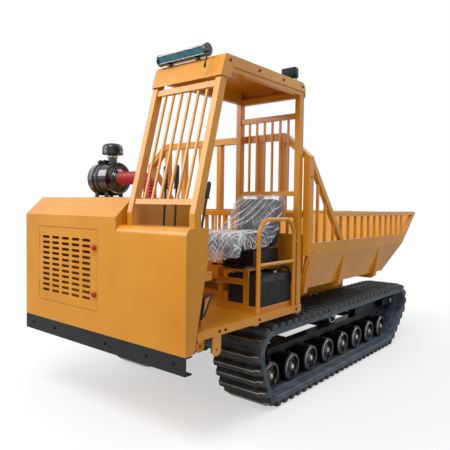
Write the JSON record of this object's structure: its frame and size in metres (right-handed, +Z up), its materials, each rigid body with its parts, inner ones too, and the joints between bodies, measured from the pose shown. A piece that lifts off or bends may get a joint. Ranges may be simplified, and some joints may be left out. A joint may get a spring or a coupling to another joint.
{
  "type": "power wheelbarrow",
  "caption": "Ride-on powered barrow on rubber tracks: engine hood, open barred cab with seat and levers, and a tipping load box with racks.",
  "frame": {"origin": "on the ground under the middle of the machine's bounding box", "axes": "+Z up, -Y the way the machine faces, +X the operator's side"},
  "size_m": [1.628, 3.294, 2.2087],
  "materials": {
    "paint": "satin yellow-orange enamel",
    "dark_paint": "satin dark grey enamel",
    "track_rubber": "matt blue-black",
    "roller_iron": "painted navy black with worn rims",
    "gloss_black": "gloss black",
    "red_hose": "satin red",
    "red_plastic": "gloss red",
    "black_plastic": "fine grain",
    "seat_vinyl": "black vinyl in clear film",
    "lens": "teal clear",
    "lamp_body": "black anodised",
    "grip_rubber": "matt",
    "bright_steel": "zinc plated",
    "rod_chrome": "polished"
  },
  "bodies": {
    "chassis": {"chassis_frame": "paint", "track_frames": "dark_paint", "front_bumper": "dark_paint", "engine_hood": "paint", "front_console": "paint", "drive_train": "dark_paint", "operator_deck": "paint", "seat_platform": "paint", "batteries": "black_plastic", "battery_cable": "grip_rubber", "handrail": "paint", "cab_frame": "paint", "cab_roof": "paint", "light_bar": "lamp_body", "light_bar_lens": "lens", "lamp_lead": "grip_rubber", "rear_lamp": "lamp_body", "air_cleaner": "gloss_black", "precleaner": "black_plastic", "intake_hose": "red_hose", "chassis_bolts": "bright_steel", "track_belt_left": "track_rubber", "track_belt_right": "track_rubber"},
    "door": {"service_door": "paint"},
    "door_knob_lower": {"door_knob_lower": "red_plastic"},
    "door_knob_upper": {"door_knob_upper": "red_plastic"},
    "tipping_box": {"dump_box": "paint", "headboard": "paint", "side_racks": "paint"},
    "barrel": {"cylinder_barrel": "dark_paint"},
    "rod": {"cylinder_rod": "rod_chrome"},
    "seat": {"seat_base": "black_plastic", "seat_cushion": "seat_vinyl", "seat_backrest": "seat_vinyl"},
    "brake_pedal": {"brake_pedal": "paint"},
    "gear_lever": {"gear_lever": "grip_rubber"},
    "steering_lever_left": {"steering_lever_left": "grip_rubber"},
    "steering_lever_right": {"steering_lever_right": "grip_rubber"},
    "sprocket_left": {"sprocket_left": "roller_iron"},
    "idler_left": {"idler_left": "roller_iron"},
    "carrier_roller_left": {"carrier_roller_left": "roller_iron"},
    "lower_roller_left_1": {"lower_roller_left_1": "roller_iron"},
    "lower_roller_left_2": {"lower_roller_left_2": "roller_iron"},
    "lower_roller_left_3": {"lower_roller_left_3": "roller_iron"},
    "lower_roller_left_4": {"lower_roller_left_4": "roller_iron"},
    "lower_roller_left_5": {"lower_roller_left_5": "roller_iron"},
    "lower_roller_left_6": {"lower_roller_left_6": "roller_iron"},
    "lower_roller_left_7": {"lower_roller_left_7": "roller_iron"},
    "lower_roller_left_8": {"lower_roller_left_8": "roller_iron"},
    "sprocket_right": {"sprocket_right": "roller_iron"},
    "idler_right": {"idler_right": "roller_iron"},
    "carrier_roller_right": {"carrier_roller_right": "roller_iron"},
    "lower_roller_right_1": {"lower_roller_right_1": "roller_iron"},
    "lower_roller_right_2": {"lower_roller_right_2": "roller_iron"},
    "lower_roller_right_3": {"lower_roller_right_3": "roller_iron"},
    "lower_roller_right_4": {"lower_roller_right_4": "roller_iron"},
    "lower_roller_right_5": {"lower_roller_right_5": "roller_iron"},
    "lower_roller_right_6": {"lower_roller_right_6": "roller_iron"},
    "lower_roller_right_7": {"lower_roller_right_7": "roller_iron"},
    "lower_roller_right_8": {"lower_roller_right_8": "roller_iron"}
  },
  "joints": [
    {"name": "sprocket_left_spin", "type": "hinge", "parent": "chassis", "child": "sprocket_left", "pos_m": [0.58, -0.814, 0.37], "axis": [-1, 0, 0], "continuous": true},
    {"name": "idler_left_spin", "type": "hinge", "parent": "chassis", "child": "idler_left", "pos_m": [0.58, 1.386, 0.385], "axis": [-1, 0, 0], "continuous": true},
    {"name": "carrier_roller_left_spin", "type": "hinge", "parent": "chassis", "child": "carrier_roller_left", "pos_m": [0.58, 0.261, 0.41002], "axis": [-1, 0, 0], "continuous": true},
    {"name": "lower_roller_left_1_spin", "type": "hinge", "parent": "chassis", "child": "lower_roller_left_1", "pos_m": [0.58, -0.744, 0.1859], "axis": [-1, 0, 0], "continuous": true},
    {"name": "lower_roller_left_2_spin", "type": "hinge", "parent": "chassis", "child": "lower_roller_left_2", "pos_m": [0.58, -0.484, 0.1859], "axis": [-1, 0, 0], "continuous": true},
    {"name": "lower_roller_left_3_spin", "type": "hinge", "parent": "chassis", "child": "lower_roller_left_3", "pos_m": [0.58, -0.224, 0.1859], "axis": [-1, 0, 0], "continuous": true},
    {"name": "lower_roller_left_4_spin", "type": "hinge", "parent": "chassis", "child": "lower_roller_left_4", "pos_m": [0.58, 0.036, 0.1859], "axis": [-1, 0, 0], "continuous": true},
    {"name": "lower_roller_left_5_spin", "type": "hinge", "parent": "chassis", "child": "lower_roller_left_5", "pos_m": [0.58, 0.296, 0.1859], "axis": [-1, 0, 0], "continuous": true},
    {"name": "lower_roller_left_6_spin", "type": "hinge", "parent": "chassis", "child": "lower_roller_left_6", "pos_m": [0.58, 0.556, 0.1859], "axis": [-1, 0, 0], "continuous": true},
    {"name": "lower_roller_left_7_spin", "type": "hinge", "parent": "chassis", "child": "lower_roller_left_7", "pos_m": [0.58, 0.816, 0.1859], "axis": [-1, 0, 0], "continuous": true},
    {"name": "lower_roller_left_8_spin", "type": "hinge", "parent": "chassis", "child": "lower_roller_left_8", "pos_m": [0.58, 1.076, 0.1859], "axis": [-1, 0, 0], "continuous": true},
    {"name": "sprocket_right_spin", "type": "hinge", "parent": "chassis", "child": "sprocket_right", "pos_m": [-0.58, -0.814, 0.37], "axis": [-1, 0, 0], "continuous": true},
    {"name": "idler_right_spin", "type": "hinge", "parent": "chassis", "child": "idler_right", "pos_m": [-0.58, 1.386, 0.385], "axis": [-1, 0, 0], "continuous": true},
    {"name": "carrier_roller_right_spin", "type": "hinge", "parent": "chassis", "child": "carrier_roller_right", "pos_m": [-0.58, 0.261, 0.41002], "axis": [-1, 0, 0], "continuous": true},
    {"name": "lower_roller_right_1_spin", "type": "hinge", "parent": "chassis", "child": "lower_roller_right_1", "pos_m": [-0.58, -0.744, 0.1859], "axis": [-1, 0, 0], "continuous": true},
    {"name": "lower_roller_right_2_spin", "type": "hinge", "parent": "chassis", "child": "lower_roller_right_2", "pos_m": [-0.58, -0.484, 0.1859], "axis": [-1, 0, 0], "continuous": true},
    {"name": "lower_roller_right_3_spin", "type": "hinge", "parent": "chassis", "child": "lower_roller_right_3", "pos_m": [-0.58, -0.224, 0.1859], "axis": [-1, 0, 0], "continuous": true},
    {"name": "lower_roller_right_4_spin", "type": "hinge", "parent": "chassis", "child": "lower_roller_right_4", "pos_m": [-0.58, 0.036, 0.1859], "axis": [-1, 0, 0], "continuous": true},
    {"name": "lower_roller_right_5_spin", "type": "hinge", "parent": "chassis", "child": "lower_roller_right_5", "pos_m": [-0.58, 0.296, 0.1859], "axis": [-1, 0, 0], "continuous": true},
    {"name": "lower_roller_right_6_spin", "type": "hinge", "parent": "chassis", "child": "lower_roller_right_6", "pos_m": [-0.58, 0.556, 0.1859], "axis": [-1, 0, 0], "continuous": true},
    {"name": "lower_roller_right_7_spin", "type": "hinge", "parent": "chassis", "child": "lower_roller_right_7", "pos_m": [-0.58, 0.816, 0.1859], "axis": [-1, 0, 0], "continuous": true},
    {"name": "lower_roller_right_8_spin", "type": "hinge", "parent": "chassis", "child": "lower_roller_right_8", "pos_m": [-0.58, 1.076, 0.1859], "axis": [-1, 0, 0], "continuous": true},
    {"name": "box_tip", "type": "hinge", "parent": "chassis", "child": "tipping_box", "pos_m": [0, 0.931, 0.68], "axis": [-1, 0, 0], "range_deg": [0, 50]},
    {"name": "barrel_swing", "type": "hinge", "parent": "chassis", "child": "barrel", "pos_m": [0, 0.4168, 0.29], "axis": [1, 0, 0], "range_deg": [0, 2]},
    {"name": "rod_extend", "type": "slide", "parent": "barrel", "child": "rod", "axis": [0, 0.3966, 0.918], "range_m": [0, 0.297]},
    {"name": "door_swing", "type": "hinge", "parent": "chassis", "child": "door", "pos_m": [-0.604, -1.629, 0.9], "axis": [0, 0, -1], "range_deg": [0, 110]},
    {"name": "door_knob_lower_turn", "type": "hinge", "parent": "door", "child": "door_knob_lower", "pos_m": [0.018, -1.639, 0.756], "axis": [0, 1, 0], "range_deg": [0, 90]},
    {"name": "door_knob_upper_turn", "type": "hinge", "parent": "door", "child": "door_knob_upper", "pos_m": [0.018, -1.639, 1.037], "axis": [0, 1, 0], "range_deg": [0, 90]},
    {"name": "steering_left_pull", "type": "hinge", "parent": "chassis", "child": "steering_lever_left", "pos_m": [0.397, -1.367, 0.7], "axis": [-1, 0, 0], "range_deg": [0, 15], "stiffness_Nm_per_rad": 30, "springref_deg": -11.46},
    {"name": "steering_right_pull", "type": "hinge", "parent": "chassis", "child": "steering_lever_right", "pos_m": [0.303, -1.367, 0.7], "axis": [-1, 0, 0], "range_deg": [0, 15], "stiffness_Nm_per_rad": 30, "springref_deg": -11.46},
    {"name": "gear_shift", "type": "hinge", "parent": "chassis", "child": "gear_lever", "pos_m": [0.69, -1.466, 1], "axis": [-1, 0, 0], "range_deg": [-7, 9]},
    {"name": "brake_press", "type": "hinge", "parent": "chassis", "child": "brake_pedal", "pos_m": [0.645, -1.414, 0.657], "axis": [1, 0, 0], "range_deg": [0, 18], "stiffness_Nm_per_rad": 12, "springref_deg": -14.32},
    {"name": "seat_slide", "type": "slide", "parent": "chassis", "child": "seat", "axis": [0, 1, 0], "range_m": [-0.05, 0.05]}
  ],
  "couplings": [
    {"joint": "idler_left_spin", "follows": "sprocket_left_spin", "ratio": 1.1848},
    {"joint": "carrier_roller_left_spin", "follows": "sprocket_left_spin", "ratio": 1.6769},
    {"joint": "lower_roller_left_1_spin", "follows": "sprocket_left_spin", "ratio": 1.1474},
    {"joint": "lower_roller_left_2_spin", "follows": "sprocket_left_spin", "ratio": 1.1474},
    {"joint": "lower_roller_left_3_spin", "follows": "sprocket_left_spin", "ratio": 1.1474},
    {"joint": "lower_roller_left_4_spin", "follows": "sprocket_left_spin", "ratio": 1.1474},
    {"joint": "lower_roller_left_5_spin", "follows": "sprocket_left_spin", "ratio": 1.1474},
    {"joint": "lower_roller_left_6_spin", "follows": "sprocket_left_spin", "ratio": 1.1474},
    {"joint": "lower_roller_left_7_spin", "follows": "sprocket_left_spin", "ratio": 1.1474},
    {"joint": "lower_roller_left_8_spin", "follows": "sprocket_left_spin", "ratio": 1.1474},
    {"joint": "idler_right_spin", "follows": "sprocket_right_spin", "ratio": 1.1848},
    {"joint": "carrier_roller_right_spin", "follows": "sprocket_right_spin", "ratio": 1.6769},
    {"joint": "lower_roller_right_1_spin", "follows": "sprocket_right_spin", "ratio": 1.1474},
    {"joint": "lower_roller_right_2_spin", "follows": "sprocket_right_spin", "ratio": 1.1474},
    {"joint": "lower_roller_right_3_spin", "follows": "sprocket_right_spin", "ratio": 1.1474},
    {"joint": "lower_roller_right_4_spin", "follows": "sprocket_right_spin", "ratio": 1.1474},
    {"joint": "lower_roller_right_5_spin", "follows": "sprocket_right_spin", "ratio": 1.1474},
    {"joint": "lower_roller_right_6_spin", "follows": "sprocket_right_spin", "ratio": 1.1474},
    {"joint": "lower_roller_right_7_spin", "follows": "sprocket_right_spin", "ratio": 1.1474},
    {"joint": "lower_roller_right_8_spin", "follows": "sprocket_right_spin", "ratio": 1.1474},
    {"joint": "barrel_swing", "follows": "box_tip", "ratio": 0.034},
    {"joint": "rod_extend", "follows": "box_tip", "m_per_rad": 0.33914}
  ]
}
